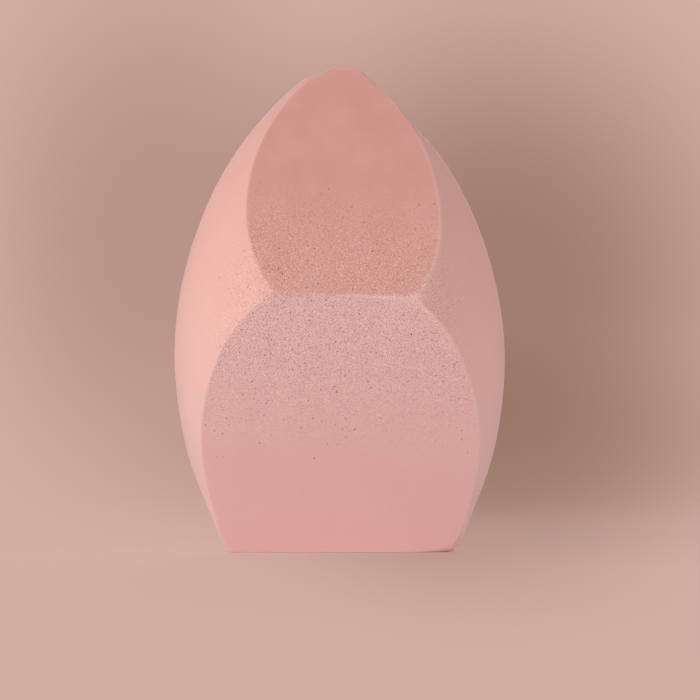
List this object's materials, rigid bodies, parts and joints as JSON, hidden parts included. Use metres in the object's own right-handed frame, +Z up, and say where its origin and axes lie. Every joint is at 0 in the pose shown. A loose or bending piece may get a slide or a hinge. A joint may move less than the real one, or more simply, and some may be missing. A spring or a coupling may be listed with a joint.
{
  "type": "makeup sponge",
  "caption": "Egg-shaped soft foam sponge with a flat base, a rounded tip and flat cut faces that meet in a ridge, for dabbing and blending cosmetics.",
  "frame": {"origin": "on the flat base, on the axis of the moulded round body", "axes": "+Z up from the flat base to the tip; the two cut faces look towards -Y and the uncut round back towards +Y; +X is to the right as the cut faces are seen"},
  "size_m": [0.0408, 0.0385, 0.06],
  "materials": {
    "cut_foam": "matte open-cell polyurethane foam with fine pinholes, dusty pink",
    "foam_skin": "matte closed foam skin, slightly smoother and paler pink"
  },
  "bodies": {
    "root": {"foam_core": "cut_foam", "moulded_skin": "foam_skin"}
  },
  "joints": []
}
